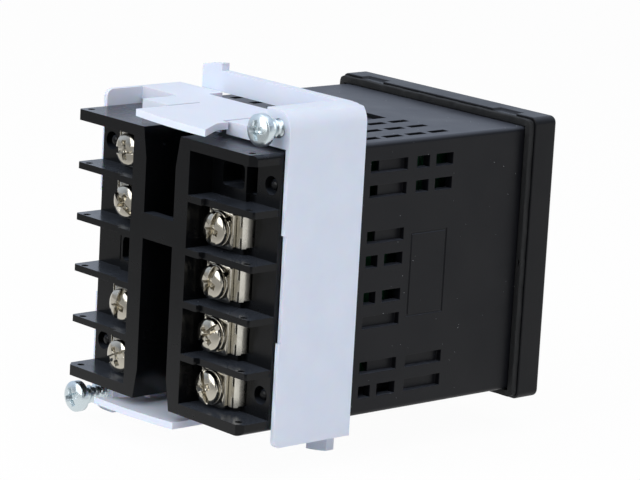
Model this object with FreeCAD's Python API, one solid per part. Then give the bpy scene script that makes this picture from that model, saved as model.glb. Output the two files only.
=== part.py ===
import FreeCAD, Part
import os

# 1/16 DIN panel temperature controller with its clamp bracket, in millimetres.
# The front faces -Y, the terminals face +Y and +Z is up.  The origin is the centre of
# the plane where the gasket meets the panel, so the bezel is at negative Y.

# ---- overall ----
case_side = 44.8
case_back = 45.6
block_depth = 12.9
bezel_overhang = 1.6
bezel_thick = 4.9
gasket_thick = 1.1

# ---- bezel, gasket and front window ----
bezel_corner = 1.2
bezel_edge = 0.6
bezel_wall = 2.8
front_wall = 1.8
lug_notch_x = 16.4
lug_notch_width = 5.4
lug_notch_length = 1.7
lug_notch_depth = 0.4
gasket_inset = 0.3
gasket_slip = 0.1
window_side_margin = 3.5
window_top_margin = 4.55
window_height = 24.5
window_thick = 1.2
window_ledge = 1.2
window_gap = 0.05

# ---- keys ----
key_count = 4
key_side_margin = 3.6
key_space = 2.0
key_height = 4.4
key_rise = 9.4
key_proud = 0.5
key_gap = 0.12
key_flange = 0.7
key_flange_thick = 0.6
key_edge = 0.25
key_travel = 0.3
key_rest_gap = 0.1
switch_side = 5.2
switch_button_radius = 1.2
switch_button_height = 0.5

# ---- displays, circuit boards and what they carry ----
board_thick = 1.6
board_gap = 0.5
front_board_in = 0.3
pv_width = 34.0
pv_height = 11.0
pv_rise = 5.6
sv_width = 30.0
sv_height = 8.4
sv_drop = 6.0
display_gap = 0.7
side_board_gap = 2.3
side_board_front = 0.6
side_board_overrun = 1.0
relay_size = (10.0, 18.4, 15.4)
relay_at = (22.0, -7.5)
transformer_size = (11.5, 15.0, 16.0)
transformer_at = (15.0, 6.5)
transformer_cheek = 2.5
transformer_lip = 2.2
big_cap_radius = 4.0
big_cap_length = 11.5
big_cap_at = (31.5, 8.0)
small_cap_radius = 3.15
small_cap_length = 9.0
small_caps_at = ((-1, 30.5, -4.5), (1, 22.0, 10.5))
# side, height off the board, length, width, and the place of the middle
chips_at = ((-1, 3.4, 9.5, 6.4, 22.75, -10.4), (1, 1.6, 7.0, 7.0, 9.5, 7.5),
            (1, 1.6, 6.0, 4.5, 37.5, 4.25), (-1, 4.6, 5.6, 6.0, 38.8, -11.0))
link_thick = 2.5
link_length = 5.6
link_low = -15.0
link_high = -5.0

# ---- case ----
case_wall = 1.6
case_corner = 0.8
rail_half_width = 6.2
rail_start = 16.05
rail_depth = 0.8
tooth_pitch = 1.2
tooth_height = 0.3
tooth_first = 20.4
tooth_margin = 0.8

# vents on the two sides: rows of long slots, some of them blind or bridged
side_slot_height = 2.0
side_slot_length = 7.95
side_slot_blind = 1.0
side_back_column = 25.8
side_front_column = 15.8
side_rows = (18.5, 14.5, 7.0, 3.0, -3.0, -7.0, -14.5, -18.5)
back_kinds = ("tail", "tail", "tail", "bridged", "bridged", "blind", "tail", "bridged")
front_kinds = ("bridged", "bridged", None, None, None, None, "blind", "blind")
back_tail = 2.55
front_tail = 2.75
bridge_length = 1.45
patch_front = 16.2
patch_back = 24.2
patch_half_height = 7.0
patch_line = 0.35
patch_line_depth = 0.15

# vents in the top and the bottom: short slots on a grid
top_slot_length = 3.75
top_slot_width = 1.5
top_slot_pitch = 5.0
top_slot_first = 16.4
top_slot_count = 4
top_rows = (9.5, 14.0, 19.0)

# ---- terminal block ----
pocket_depth = 5.9
floor_thick = 3.6
block_skirt = 1.6
plate_thick = 1.8
fin_thick = 1.1
pocket_count = 5
channel_half = 3.75
channel_depth = 10.1
channel_skin = 1.5
wall_thick = 3.35
wall_flare = 0.9
wall_flare_length = 5.0
bar_low = 4.35
bar_high = 8.55
bar_depth = 2.0
ledge_height = 1.0
fin_step_out = 3.3
fin_step = 0.7
corner_chamfer = 1.0
pin_in_x = 2.2
pin_in_z = 5.5
pin_hole_radius = 1.5
pin_hole_depth = 2.0
pin_radius = 0.95
pin_sunk = 0.3
pin_round = 0.6
cover_hole_in = 2.0
cover_hole_back = 1.5
cover_hole_radius = 0.6
slot_width = 1.5
slot_height = 4.9

# ---- terminals: plate, square washer and screw ----
# side and pocket of each terminal, pocket 0 at the top; two pockets carry none
fitted = [(-1, 1), (-1, 2), (-1, 3), (-1, 4), (1, 0), (1, 1), (1, 3), (1, 4)]
screw_out = 4.3
term_plate_thick = 0.8
term_inner_gap = 0.8
term_reach = 5.1
term_half_height = 2.6
term_leg_half_height = 2.25
term_leg_overlap = 4.0
term_notch_in = 0.85
term_notch_half = 0.2
term_neck_half_height = 0.9
thread_radius = 1.5
thread_clearance = 0.05
washer_side = 6.2
washer_thick = 0.75
washer_corner = 0.5
washer_slip = 0.1
stack_gap = 0.05
head_radius = 2.7
head_height = 1.95
head_round = 0.95
shank_length = 5.2
well_gap = 0.3
well_length = 5.3
well_half_height = 1.95
well_corner = 0.8
well_floor = 0.6
drive_slot = 0.85
drive_slot_depth = 0.8
drive_cross = 0.95
drive_cross_length = 3.3
drive_cross_depth = 1.15
drive_turn = 17.0

# ---- clamp bracket ----
ring_length = 16.0
ring_overrun = 6.5
ring_wall_x = 0.85
ring_wall_z = 2.1
ring_slip_x = 0.15
ring_slip_z = 0.5
ring_corner = 1.2
ear_width = 5.7
ear_height = 6.0
ear_round = 3.1
strip_length = 8.8
strip_width = 11.1
plate_setback = 3.0
plate_end_in = 10.1
tongue_left = 6.4
tongue_right = 7.6
tongue_head_right = 9.1
tongue_flare = 3.4
tongue_flare_length = 5.2
tongue_bow = 0.45
tongue_root_in = 6.5
tongue_reach_left = 0.4
tongue_reach_right = 1.6
tongue_thick = 1.15
tongue_slit = 0.5
pawl_gap = 0.35
pawl_from_root = 3.4
pawl_length = 1.6
pawl_flat = 0.3
pawl_lift = 0.15
arm_thick = 1.6
arm_height = 3.5
arm_drop = 0.4
arm_gap = 0.2
arm_end_in = 5.5
arm_root_cut = 2.5
arm_blend = 3.0
pad_length = 4.9
pad_rise = 0.95
pad_heel_rise = 0.5
pad_lip_rise = 1.25
edge_relief_low = -8.0
edge_relief_high = 9.3
edge_relief = 0.4

# ---- clamp screws ----
clamp_in = 2.8
clamp_up = 3.1
clamp_radius = 1.5
clamp_head_radius = 2.6
clamp_head_height = 1.9
clamp_head_round = 1.15
clamp_length = 20.0
clamp_out_top = 3.0
clamp_out_bottom = 4.75
clamp_recess = 1.1
clamp_cross = 0.9
clamp_cross_length = 3.2
clamp_turn_top = 20.0
clamp_turn_bottom = 8.0

# ---- worked out from the sizes above ----
half_case = case_side / 2
half_in = half_case - case_wall
bezel_side = case_side + 2 * bezel_overhang
bezel_back = -gasket_thick
bezel_front = bezel_back - bezel_thick
block_front = case_back
block_back = case_back + block_depth
block_floor = block_back - pocket_depth
block_inner = block_floor - floor_thick
channel_floor = block_back - channel_depth
wall_outer = channel_half + wall_thick
pocket_pitch = (case_side - plate_thick) / pocket_count
rail_floor = half_case - rail_depth
screw_x = wall_outer + screw_out
term_outer = screw_x + term_reach
ring_back = case_back + ring_overrun
ring_front = ring_back - ring_length
ring_in_x = half_case + ring_slip_x
ring_in_z = half_case + ring_slip_z
ring_half_x = ring_in_x + ring_wall_x
ring_half_z = ring_in_z + ring_wall_z
ear_top = ring_in_z + ear_height
ear_inner = ring_half_x - ear_width

V = FreeCAD.Vector
os.makedirs("parts", exist_ok=True)


def block(x0, x1, y0, y1, z0, z1):
    # a box between two opposite corners, given in any order
    corner = V(min(x0, x1), min(y0, y1), min(z0, z1))
    return Part.makeBox(abs(x1 - x0), abs(y1 - y0), abs(z1 - z0), corner)


def rod(x, z, radius, y0, y1):
    # a cylinder along Y
    return Part.makeCylinder(radius, y1 - y0, V(x, y0, z), V(0, 1, 0))


def along_y(edge):
    return abs(edge.tangentAt(edge.FirstParameter).y) > 0.9


def on_plane_y(edge, y):
    return all(abs(v.Y - y) < 1e-6 for v in edge.Vertexes)


def square_bar(side, y0, y1, radius=0.0):
    # a square prism along Y centred on the axis, with its long edges rounded
    half = side / 2
    bar = block(-half, half, y0, y1, -half, half)
    if radius:
        bar = bar.makeFillet(radius, [e for e in bar.Edges if along_y(e)])
    return bar


def prism(points, direction):
    # a flat outline through the points, drawn out along a direction
    return Part.Face(Part.makePolygon(points + points[:1])).extrude(direction)


def half_turn(shape):
    # the bracket and the case repeat after half a turn about Y
    turned = shape.copy()
    turned.rotate(V(0, 0, 0), V(0, 1, 0), 180)
    return turned


def mirror_x(shape):
    return shape.mirror(V(0, 0, 0), V(1, 0, 0))


def join(shapes):
    return shapes[0].multiFuse(shapes[1:]).removeSplitter()


def cut_all(shape, tools):
    return shape.cut(Part.makeCompound(tools))


def cross_recess(x, z, y_face, width, length, depth):
    # the drive recess of a screw: two crossed slots sunk into its face
    tall = block(x - width / 2, x + width / 2, y_face - depth, y_face + 1, z - length / 2, z + length / 2)
    wide = block(x - length / 2, x + length / 2, y_face - depth, y_face + 1, z - width / 2, z + width / 2)
    return tall.fuse(wide)


def round_head(x, z, radius, y0, y1, edge):
    # a pan head turned about its screw's axis, its outer edge taken off in two cones
    profile = [V(0, y0, 0), V(radius, y0, 0), V(radius, y1 - edge, 0),
               V(radius - 0.29 * edge, y1 - 0.29 * edge, 0), V(radius - edge, y1, 0), V(0, y1, 0)]
    head = Part.Face(Part.makePolygon(profile + profile[:1])).revolve(V(0, 0, 0), V(0, 1, 0), 360)
    head.translate(V(x, 0, z))
    return head


def save(name, shape):
    shape.exportStep("parts/" + name + ".step")


# ---- bezel: a square frame, open behind, with the window rebate and four key holes ----
wall_back = bezel_front + front_wall
bezel = square_bar(bezel_side, bezel_front, bezel_back, bezel_corner)
bezel = bezel.makeFillet(bezel_edge, [e for e in bezel.Edges if on_plane_y(e, bezel_front)])
bezel = bezel.cut(square_bar(bezel_side - 2 * bezel_wall, wall_back, bezel_back + 1))
window_width = bezel_side - 2 * window_side_margin
window_z = bezel_side / 2 - window_top_margin - window_height / 2
window_back = bezel_front + window_thick
rebate_w = window_width / 2 + window_gap
rebate_h = window_height / 2 + window_gap
bezel = bezel.cut(block(-rebate_w, rebate_w, bezel_front - 1, window_back,
                        window_z - rebate_h, window_z + rebate_h))
see_w = rebate_w - window_ledge
see_h = rebate_h - window_ledge
bezel = bezel.cut(block(-see_w, see_w, bezel_front - 1, wall_back + 1,
                        window_z - see_h, window_z + see_h))
key_pitch = (bezel_side - 2 * key_side_margin) / key_count
key_half_w = (key_pitch - key_space) / 2
key_half_h = key_height / 2
key_z = key_rise - bezel_side / 2
key_x = [(i - (key_count - 1) / 2) * key_pitch for i in range(key_count)]
holes = []
for x in key_x:
    holes.append(block(x - key_half_w - key_gap, x + key_half_w + key_gap, bezel_front - 1, wall_back + 1,
                       key_z - key_half_h - key_gap, key_z + key_half_h + key_gap))
for x in (-lug_notch_x, lug_notch_x):
    holes.append(block(x - lug_notch_width / 2, x + lug_notch_width / 2,
                       bezel_back - lug_notch_length, bezel_back + 1,
                       bezel_side / 2 - lug_notch_depth, bezel_side / 2 + 1))
save("bezel", cut_all(bezel, holes))

# ---- smoked front window in its rebate ----
save("front_window", block(-window_width / 2, window_width / 2, bezel_front, window_back,
                           window_z - window_height / 2, window_z + window_height / 2))

# ---- gasket: a flat square rubber ring around the case ----
gasket = square_bar(bezel_side - 2 * gasket_inset, bezel_back, 0.0, bezel_corner)
save("gasket", gasket.cut(square_bar(case_side + 2 * gasket_slip, bezel_back - 1, 1.0)))

# ---- four keys: a cap that stands proud and a flange that holds it in ----
key_front = bezel_front - key_proud
flange_front = wall_back + key_rest_gap
flange_back = flange_front + key_flange_thick
for name, x in zip(("key_mode", "key_left", "key_down", "key_up"), key_x):
    cap = block(x - key_half_w, x + key_half_w, key_front, flange_front,
                key_z - key_half_h, key_z + key_half_h)
    cap = cap.makeFillet(key_edge, [e for e in cap.Edges if on_plane_y(e, key_front)])
    flange = block(x - key_half_w - key_flange, x + key_half_w + key_flange, flange_front, flange_back,
                   key_z - key_half_h - key_flange, key_z + key_half_h + key_flange)
    save(name, join([cap, flange]))

# ---- front board with displays and key switches, just in front of the panel plane ----
half_board = half_in - board_gap
board_back = -front_board_in
board_front = board_back - board_thick
save("front_board", block(-half_board, half_board, board_front, board_back, -half_board, half_board))
display_front = window_back + display_gap
for name, width, height, z in (("display_upper", pv_width, pv_height, window_z + pv_rise),
                               ("display_lower", sv_width, sv_height, window_z - sv_drop)):
    save(name, block(-width / 2, width / 2, display_front, board_front, z - height / 2, z + height / 2))
switch_front = flange_back + key_travel + key_rest_gap
switch_body = switch_front + switch_button_height
switches = []
for x in key_x:
    body = block(x - switch_side / 2, x + switch_side / 2, switch_body, board_front,
                 key_z - switch_side / 2, key_z + switch_side / 2)
    switches.append(join([body, rod(x, key_z, switch_button_radius, switch_front, switch_body)]))
save("key_switches", Part.makeCompound(switches))


# ---- case: a square tube with vents, and a toothed rail along its top and bottom ----
def side_slot(y_front, z, kind, tail):
    # one slot in the -X side: a blind pocket, or one with a tail or two parts cut through
    outside = -half_case - 1
    inside = -half_in + 1
    z0 = z - side_slot_height / 2
    z1 = z + side_slot_height / 2
    y_back = y_front + side_slot_length
    pocket = block(outside, -half_case + side_slot_blind, y_front, y_back, z0, z1)
    if kind == "blind":
        return [pocket]
    tail_cut = block(outside, inside, y_back - tail, y_back, z0, z1)
    if kind == "tail":
        return [tail_cut, pocket]
    return [tail_cut, block(outside, inside, y_front, y_back - tail - bridge_length, z0, z1)]


case = square_bar(case_side, bezel_back, case_back, case_corner)
case = case.cut(square_bar(2 * half_in, bezel_back - 1, case_back + 1))
vents = []
for z, back_kind, front_kind in zip(side_rows, back_kinds, front_kinds):
    vents += side_slot(side_back_column, z, back_kind, back_tail)
    if front_kind:
        vents += side_slot(side_front_column, z, front_kind, front_tail)
# a plain patch between the slots, outlined by a shallow groove
line_in = -half_case + patch_line_depth
outline = block(-half_case - 1, line_in, patch_front, patch_back, -patch_half_height, patch_half_height)
outline = outline.cut(block(-half_case - 2, line_in + 1, patch_front + patch_line, patch_back - patch_line,
                            -patch_half_height + patch_line, patch_half_height - patch_line))
vents.append(outline)
for x in top_rows:
    for side in (-x, x):
        for i in range(top_slot_count):
            y = top_slot_first + i * top_slot_pitch
            vents.append(block(side - top_slot_width / 2, side + top_slot_width / 2,
                               y - top_slot_length / 2, y + top_slot_length / 2,
                               half_in - 1, half_case + 1))
rail = block(-rail_half_width, rail_half_width, rail_start, case_back + 1, rail_floor, half_case + 1)
vents.append(rail)
case = cut_all(case, vents + [half_turn(v) for v in vents])
tooth_count = int((case_back - tooth_margin - tooth_first) / tooth_pitch)
teeth_back = tooth_first + tooth_count * tooth_pitch
teeth_root = rail_floor - 0.2
saw = [V(-rail_half_width, tooth_first, teeth_root)]
for i in range(tooth_count):
    y = tooth_first + i * tooth_pitch
    saw.append(V(-rail_half_width, y, rail_floor))
    saw.append(V(-rail_half_width, y + tooth_pitch - 0.05, rail_floor + tooth_height))
saw.append(V(-rail_half_width, teeth_back, rail_floor))
saw.append(V(-rail_half_width, teeth_back, teeth_root))
teeth = prism(saw, V(2 * rail_half_width, 0, 0))
save("case", join([case, teeth, half_turn(teeth)]))

# ---- terminal block: two columns of pockets beside a deep channel ----
terminal_block = square_bar(case_side, block_front, block_back, case_corner)
hollow = square_bar(case_side - 2 * block_skirt, block_front - 1, block_inner)
trough = block(-wall_outer, wall_outer, channel_floor - channel_skin, block_inner + 1, -half_in, half_in)
cuts = [hollow.cut(trough)]
channel = block(-channel_half, channel_half, channel_floor, block_back + 1, -half_case - 1, half_case + 1)
cuts.append(channel.cut(block(-wall_outer, wall_outer, block_back - bar_depth, block_back + 2,
                              bar_low, bar_high)))
# the channel's walls flare out at its top and bottom mouths
flare = prism([V(channel_half - 0.5, channel_floor, half_case - wall_flare_length),
               V(channel_half, channel_floor, half_case - wall_flare_length),
               V(channel_half + wall_flare, channel_floor, half_case),
               V(channel_half + wall_flare, channel_floor, half_case + 1),
               V(channel_half - 0.5, channel_floor, half_case + 1)],
              V(0, channel_depth + 1, 0))
cuts += [flare, mirror_x(flare), half_turn(flare), half_turn(mirror_x(flare))]
# the case's rail runs on over the skirt into the channel
rail_end = block(-rail_half_width, rail_half_width, block_front - 1, channel_floor, rail_floor, half_case + 1)
cuts += [rail_end, half_turn(rail_end)]
pocket_half = (pocket_pitch - fin_thick) / 2
plate_in = half_case - plate_thick
pocket_z = [((pocket_count - 1) / 2 - i) * pocket_pitch for i in range(pocket_count)]
ledge_top = block_floor + ledge_height
well_in = screw_x - thread_radius - well_gap
leg_mid = term_outer - term_plate_thick / 2
pin_x = half_case - pin_in_x
pin_z = half_case - pin_in_z
for side in (-1, 1):
    for z in pocket_z:
        z_low = max(z - pocket_half, -plate_in)
        z_high = min(z + pocket_half, plate_in)
        pocket = block(side * wall_outer, side * (half_case + 1), block_floor, block_back + 1, z_low, z_high)
        ledge = block(side * (wall_outer - 1), side * (leg_mid - slot_width / 2 + 0.05),
                      block_floor - 1, ledge_top, z_low, z_high)
        cuts.append(pocket.cut(ledge))
        well = block(side * well_in, side * (well_in + well_length), block_inner + well_floor, ledge_top + 1,
                     z - well_half_height, z + well_half_height)
        cuts.append(well.makeFillet(well_corner, [e for e in well.Edges if along_y(e)]))
        cuts.append(block(side * leg_mid - slot_width / 2, side * leg_mid + slot_width / 2,
                          block_inner - 1, ledge_top + 1, z - slot_height / 2, z + slot_height / 2))
    # the fins stand a little lower over their outer part
    for i in range(pocket_count - 1):
        z = pocket_z[i] - pocket_pitch / 2
        cuts.append(block(side * (wall_outer + fin_step_out), side * (half_case + 1),
                          block_back - fin_step, block_back + 1, z - fin_thick, z + fin_thick))
    for z in (-pin_z, pin_z):
        cuts.append(rod(side * pin_x, z, pin_hole_radius, block_floor - pin_hole_depth, block_floor + 1))
    cuts.append(Part.makeCylinder(cover_hole_radius, case_side + 2,
                                  V(side * (half_case - cover_hole_in), block_back - cover_hole_back,
                                    -half_case - 1)))
    # the outer rear corners of the plates and fins are cut off at a slant
    cuts.append(prism([V(side * (half_case + 1), block_back - corner_chamfer - 1, -half_case - 1),
                       V(side * (half_case + 1), block_back + 1, -half_case - 1),
                       V(side * (half_case - corner_chamfer - 1), block_back + 1, -half_case - 1)],
                      V(0, 0, case_side + 2)))
for tool in cuts:
    terminal_block = terminal_block.cut(tool)
pins = []
for x in (-pin_x, pin_x):
    for z in (-pin_z, pin_z):
        pins.append(round_head(x, z, pin_radius, block_floor - pin_hole_depth - 0.5,
                               block_floor - pin_sunk, pin_round))
save("terminal_block", join([terminal_block] + pins))

# ---- terminal plates: flat under the screw, with a leg down through the floor ----
side_board_back = case_back + side_board_overrun
plate_top = ledge_top + term_plate_thick
plates = []
for side, i in fitted:
    z = pocket_z[i]
    flat = block(side * (wall_outer + term_inner_gap), side * term_outer, ledge_top, plate_top,
                 z - term_half_height, z + term_half_height)
    flat = flat.cut(rod(side * screw_x, z, thread_radius + thread_clearance, ledge_top - 1, plate_top + 1))
    notch_x = side * (term_outer - term_notch_in)
    for end in (-1, 1):
        flat = flat.cut(block(notch_x - term_notch_half, notch_x + term_notch_half,
                              ledge_top - 1, plate_top + 1,
                              z + end * term_neck_half_height, z + end * (term_half_height + 1)))
    leg = block(side * (term_outer - term_plate_thick), side * term_outer,
                side_board_back - term_leg_overlap, ledge_top,
                z - term_leg_half_height, z + term_leg_half_height)
    plates.append(join([flat, leg]))
save("terminal_plates", Part.makeCompound(plates))

# ---- terminal screws with a cross and a slot, each with a captive square washer ----
washer_low = plate_top + stack_gap
head_low = washer_low + washer_thick
head_top = head_low + head_height
half_washer = washer_side / 2
for number, (side, i) in enumerate(fitted, start=1):
    x = side * screw_x
    z = pocket_z[i]
    head = round_head(x, z, head_radius, head_low, head_top, head_round)
    slot = block(x - drive_slot / 2, x + drive_slot / 2, head_top - drive_slot_depth, head_top + 1,
                 z - head_radius - 1, z + head_radius + 1)
    drive = slot.fuse(cross_recess(x, z, head_top, drive_cross, drive_cross_length, drive_cross_depth))
    drive.rotate(V(x, head_top, z), V(0, 1, 0), drive_turn * number)
    screw = head.cut(drive).fuse(rod(x, z, thread_radius, head_low - shank_length, head_low))
    save("terminal_screw_%d" % number, screw.removeSplitter())
    washer = block(x - half_washer, x + half_washer, washer_low, head_low, z - half_washer, z + half_washer)
    washer = washer.makeFillet(washer_corner, [e for e in washer.Edges if along_y(e)])
    washer = washer.cut(rod(x, z, thread_radius + washer_slip, washer_low - 1, head_low + 1))
    save("terminal_washer_%d" % number, washer)

# ---- two side boards and the parts they carry ----
board_in = term_outer
half_tall = half_in - side_board_gap
board_left = block(-board_in - board_thick, -board_in, side_board_front, side_board_back,
                   -half_tall, half_tall)
save("board_left", board_left)
save("board_right", mirror_x(board_left))
width, length, height = relay_size
y, z = relay_at
save("relay", block(board_in - width, board_in, y - length / 2, y + length / 2,
                    z - height / 2, z + height / 2))
# the transformer's bobbin has a flat cheek at each end of its winding
width, length, height = transformer_size
y, z = transformer_at
core = block(-board_in, -board_in + width, y - length / 2, y + length / 2, z - height / 2, z + height / 2)
waist = Part.makeCylinder(height / 2 - transformer_lip, length - 2 * transformer_cheek,
                          V(-board_in + width, y - length / 2 + transformer_cheek, z), V(0, 1, 0))
save("transformer", core.cut(waist))
y, z = big_cap_at
caps = [Part.makeCylinder(big_cap_radius, big_cap_length, V(-board_in, y, z), V(1, 0, 0))]
for side, y, z in small_caps_at:
    caps.append(Part.makeCylinder(small_cap_radius, small_cap_length, V(side * board_in, y, z),
                                  V(-side, 0, 0)))
save("capacitors", Part.makeCompound(caps))
chips = []
for side, thick, length, width, y, z in chips_at:
    chips.append(block(side * board_in, side * (board_in - thick), y - length / 2, y + length / 2,
                       z - width / 2, z + width / 2))
save("chips", Part.makeCompound(chips))
link = block(-board_in, -board_in + link_thick, board_back, link_length, link_low, link_high)
save("board_links", Part.makeCompound([link, mirror_x(link)]))

# ---- clamp bracket: half of it, then the same again turned about Y ----
wall = block(-ring_half_x, -ring_in_x, ring_front, ring_back, -ring_half_z, ear_top)
corner = [e for e in wall.Edges if on_plane_y(e, ring_back)
          and all(abs(v.Z + ring_half_z) < 1e-6 for v in e.Vertexes)]
wall = wall.makeFillet(min(ring_corner, ring_length / 3), corner)
wall = wall.cut(block(-ring_half_x - 1, -ring_in_x + 1, ring_back - edge_relief, ring_back + 1,
                      edge_relief_low, edge_relief_high))
ear = block(-ring_half_x, -ear_inner, ring_front, ring_back, ring_in_z, ear_top)
strip = block(ring_half_x - strip_width, ring_half_x, ring_front, ring_front + strip_length,
              ring_in_z, ring_half_z)
plate = block(-ear_inner - 1, ring_half_x - plate_end_in, ring_front + plate_setback, ring_back,
              ring_in_z, ring_half_z)
# the tongue springs from the plate between two slits and reaches over the terminal block
tongue_root = ring_back - tongue_root_in
tongue_low = ring_half_z - tongue_thick
plate = plate.cut(block(-tongue_right - tongue_slit, tongue_left + tongue_slit, tongue_root, ring_back + 1,
                        ring_in_z - 1, ring_half_z + 1))
# behind the plate's edge its head widens to one side for the thumb
flare_x = -tongue_head_right - tongue_flare
flare_y = block_back + tongue_reach_right
left_y = block_back + tongue_reach_left
bow_y = (left_y + flare_y) / 2 + tongue_bow
path = [V(flare_x, flare_y, tongue_low),
        V(-tongue_head_right, flare_y - tongue_flare_length, tongue_low),
        V(-tongue_head_right, ring_back + tongue_slit, tongue_low),
        V(-tongue_right, ring_back + tongue_slit, tongue_low),
        V(-tongue_right, tongue_root - 0.5, tongue_low),
        V(tongue_left, tongue_root - 0.5, tongue_low),
        V(tongue_left, left_y, tongue_low)]
outline = [Part.makeLine(a, b) for a, b in zip(path, path[1:])]
outline.append(Part.Arc(path[-1], V((tongue_left + flare_x) / 2, bow_y, tongue_low), path[0]).toShape())
tongue = Part.Face(Part.Wire(outline)).extrude(V(0, 0, tongue_thick))
# a pawl under the tongue rides over the case's teeth
pawl_half_width = channel_half - pawl_gap
pawl_front = tongue_root + pawl_from_root
pawl_tip = rail_floor + tooth_height + pawl_lift
pawl = prism([V(-pawl_half_width, pawl_front, tongue_low + 0.2),
              V(-pawl_half_width, pawl_front, pawl_tip),
              V(-pawl_half_width, pawl_front + pawl_flat, pawl_tip),
              V(-pawl_half_width, pawl_front + pawl_length, tongue_low + 0.2)],
             V(2 * pawl_half_width, 0, 0))
# a springy arm crosses in front of the plate from the root of the ear
arm_back = ring_front - arm_gap
arm_front = arm_back - arm_thick
arm_top = ear_top - arm_drop
arm_low = arm_top - arm_height
arm_end = ring_half_x - arm_end_in
arm = prism([V(arm_end, arm_front, arm_low), V(arm_end, arm_back, arm_low),
             V(-ear_inner, arm_back, arm_low), V(-ear_inner, ring_front + 0.5, arm_low),
             V(-ring_half_x, ring_front + 0.5, arm_low), V(-ring_half_x, ring_front, arm_low),
             V(-ring_half_x + arm_root_cut, arm_front, arm_low)],
            V(0, 0, arm_height))
# the thumb pad at the arm's free end has a low crown and ends in a step
pad_start = arm_end - pad_length
pad_foot = V(arm_end, arm_front, arm_top - 0.5)
pad_heel = V(arm_end, arm_front, arm_top + pad_heel_rise)
pad_crown = V(pad_start + pad_length / 2, arm_front, arm_top + pad_rise)
pad_lip = V(pad_start, arm_front, arm_top + pad_lip_rise)
pad_toe = V(pad_start, arm_front, arm_top - 0.5)
outline = [Part.makeLine(pad_foot, pad_heel), Part.Arc(pad_heel, pad_crown, pad_lip).toShape(),
           Part.makeLine(pad_lip, pad_toe), Part.makeLine(pad_toe, pad_foot)]
pad = Part.Face(Part.Wire(outline)).extrude(V(0, arm_thick, 0))
# a smooth blend carries the arm's bending load into the ear
blend = block(-ear_inner, arm_blend - ear_inner, arm_back, arm_back + arm_blend, arm_low, arm_top)
blend = blend.cut(Part.makeCylinder(arm_blend, arm_height,
                                    V(arm_blend - ear_inner, arm_back + arm_blend, arm_low)))
half_bracket = join([wall, ear, strip, plate, tongue, pawl, arm, blend, pad])
# the ear's outer corner is round about the clamp screw
corner_x = -ring_half_x + ear_round
corner_z = ear_top - ear_round
corner = block(-ring_half_x - 1, corner_x, arm_front - 1, ring_back + 1, corner_z, ear_top + 1)
half_bracket = half_bracket.cut(corner.cut(rod(corner_x, corner_z, ear_round, arm_front - 2, ring_back + 2)))
clamp_x = -ring_half_x + clamp_in
clamp_z = ring_in_z + clamp_up
half_bracket = half_bracket.cut(rod(clamp_x, clamp_z, clamp_radius + thread_clearance,
                                    arm_front - 1, ring_back + 1))
save("bracket", join([half_bracket, half_turn(half_bracket)]))

# ---- clamp screws: one in each ear, run in by different amounts ----
for name, out, turn in (("clamp_screw_top", clamp_out_top, clamp_turn_top),
                        ("clamp_screw_bottom", clamp_out_bottom, clamp_turn_bottom)):
    under = ring_back + out
    face = under + clamp_head_height
    head = round_head(clamp_x, clamp_z, clamp_head_radius, under, face, clamp_head_round)
    cross = cross_recess(clamp_x, clamp_z, face, clamp_cross, clamp_cross_length, clamp_recess)
    cross.rotate(V(clamp_x, face, clamp_z), V(0, 1, 0), turn)
    screw = head.cut(cross).fuse(rod(clamp_x, clamp_z, clamp_radius, under - clamp_length, under))
    screw = screw.removeSplitter()
    save(name, half_turn(screw) if name == "clamp_screw_bottom" else screw)
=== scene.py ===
import math

import bmesh
import bpy
from mathutils import Matrix, Vector


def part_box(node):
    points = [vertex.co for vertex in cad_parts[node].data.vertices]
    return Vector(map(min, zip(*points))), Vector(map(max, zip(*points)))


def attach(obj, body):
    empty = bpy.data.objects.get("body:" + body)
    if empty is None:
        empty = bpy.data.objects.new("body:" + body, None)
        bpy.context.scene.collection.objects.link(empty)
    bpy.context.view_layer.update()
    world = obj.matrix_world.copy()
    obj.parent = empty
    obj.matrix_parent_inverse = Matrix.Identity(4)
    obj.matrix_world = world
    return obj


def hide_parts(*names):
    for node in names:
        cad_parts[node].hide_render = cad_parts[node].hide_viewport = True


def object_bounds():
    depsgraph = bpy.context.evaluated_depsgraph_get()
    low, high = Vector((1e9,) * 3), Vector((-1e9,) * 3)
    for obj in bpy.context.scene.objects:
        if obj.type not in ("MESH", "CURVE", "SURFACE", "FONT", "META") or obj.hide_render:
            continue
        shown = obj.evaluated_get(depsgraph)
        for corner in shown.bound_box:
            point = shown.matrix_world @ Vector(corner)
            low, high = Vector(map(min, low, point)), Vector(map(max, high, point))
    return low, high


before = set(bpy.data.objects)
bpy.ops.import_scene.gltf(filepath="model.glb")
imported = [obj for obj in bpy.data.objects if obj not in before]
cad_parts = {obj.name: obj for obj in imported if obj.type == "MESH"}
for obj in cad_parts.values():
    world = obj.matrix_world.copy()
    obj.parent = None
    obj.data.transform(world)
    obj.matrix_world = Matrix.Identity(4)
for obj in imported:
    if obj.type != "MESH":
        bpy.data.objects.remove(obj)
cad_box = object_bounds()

MM = 0.001

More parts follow.
